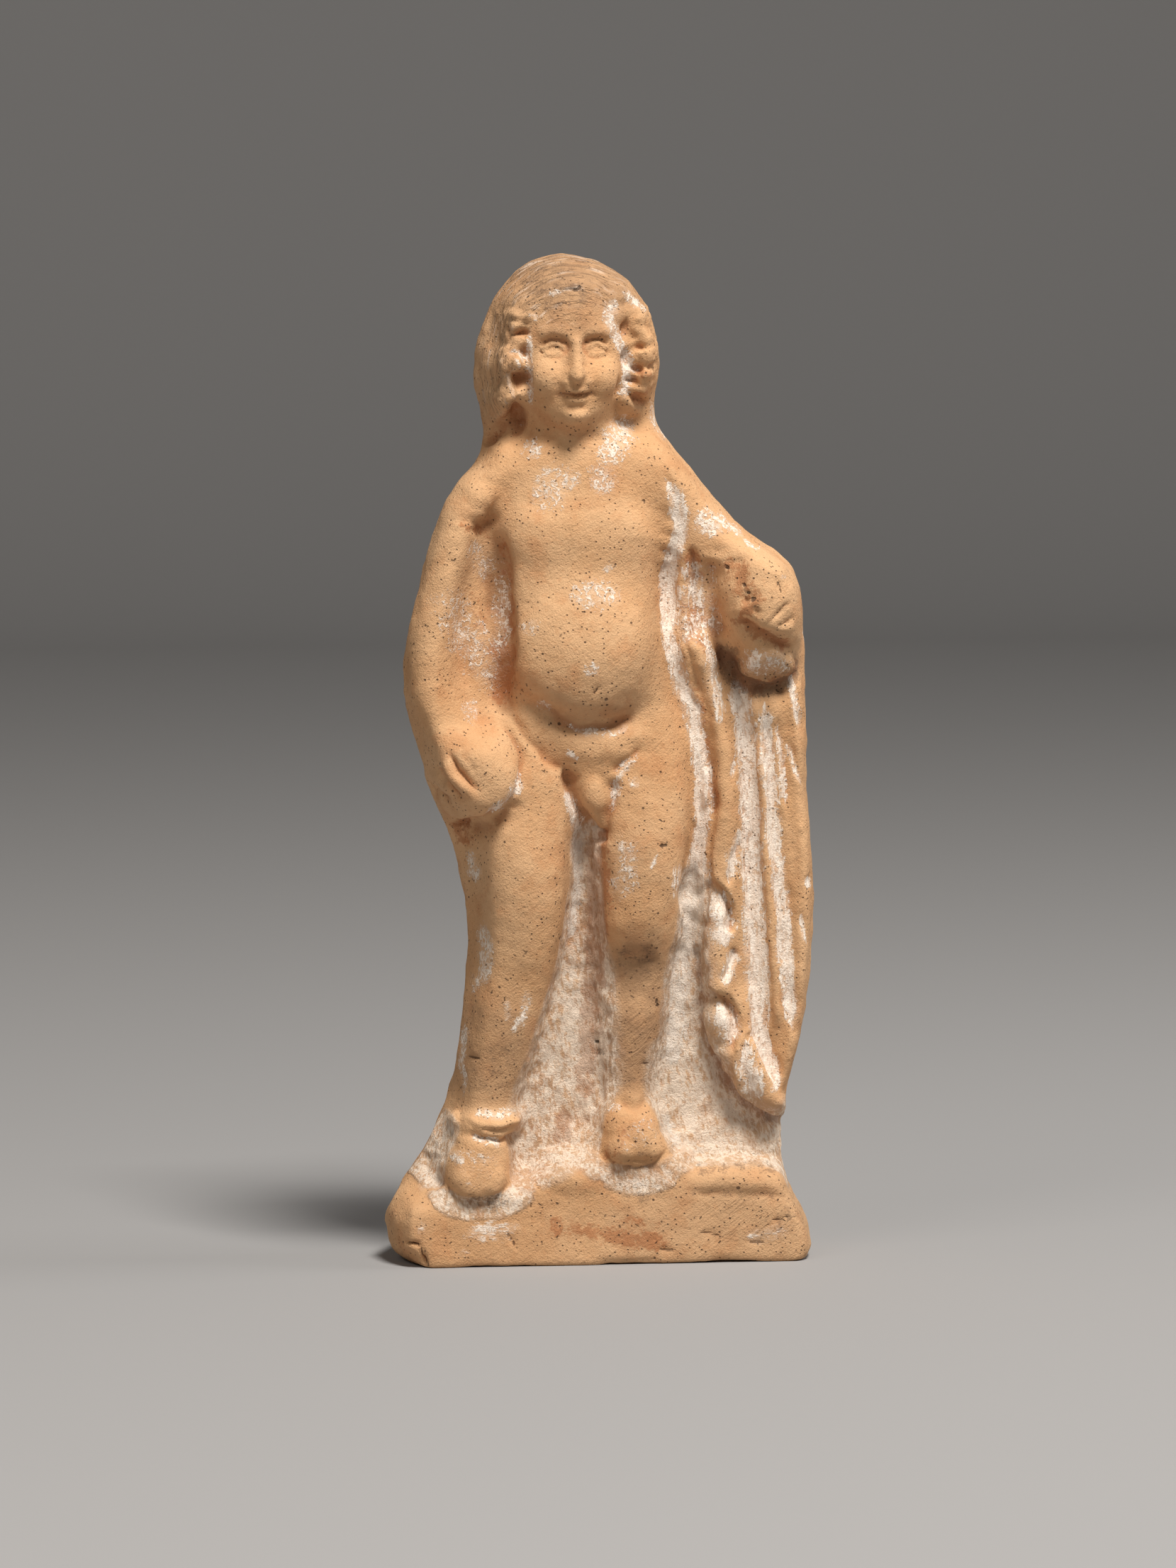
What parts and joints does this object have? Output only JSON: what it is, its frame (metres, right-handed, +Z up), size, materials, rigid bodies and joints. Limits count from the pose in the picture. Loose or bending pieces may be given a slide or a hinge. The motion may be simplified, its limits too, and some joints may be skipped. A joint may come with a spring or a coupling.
{
  "type": "terracotta statuette",
  "caption": "Mould-made terracotta statuette of a standing child with a cloak over the left arm, plain at the back, on a low plinth.",
  "frame": {"origin": "middle of the bounding box on the underside of the plinth", "axes": "+Z up, the figure faces -Y, +X towards the figure's own left, where the cloak hangs"},
  "size_m": [0.081, 0.032, 0.187],
  "materials": {
    "terracotta": "unglazed fired clay, buff orange, dry and matt, with remains of a cream white slip in the hollows"
  },
  "bodies": {
    "root": {"statuette": "terracotta"}
  },
  "joints": []
}
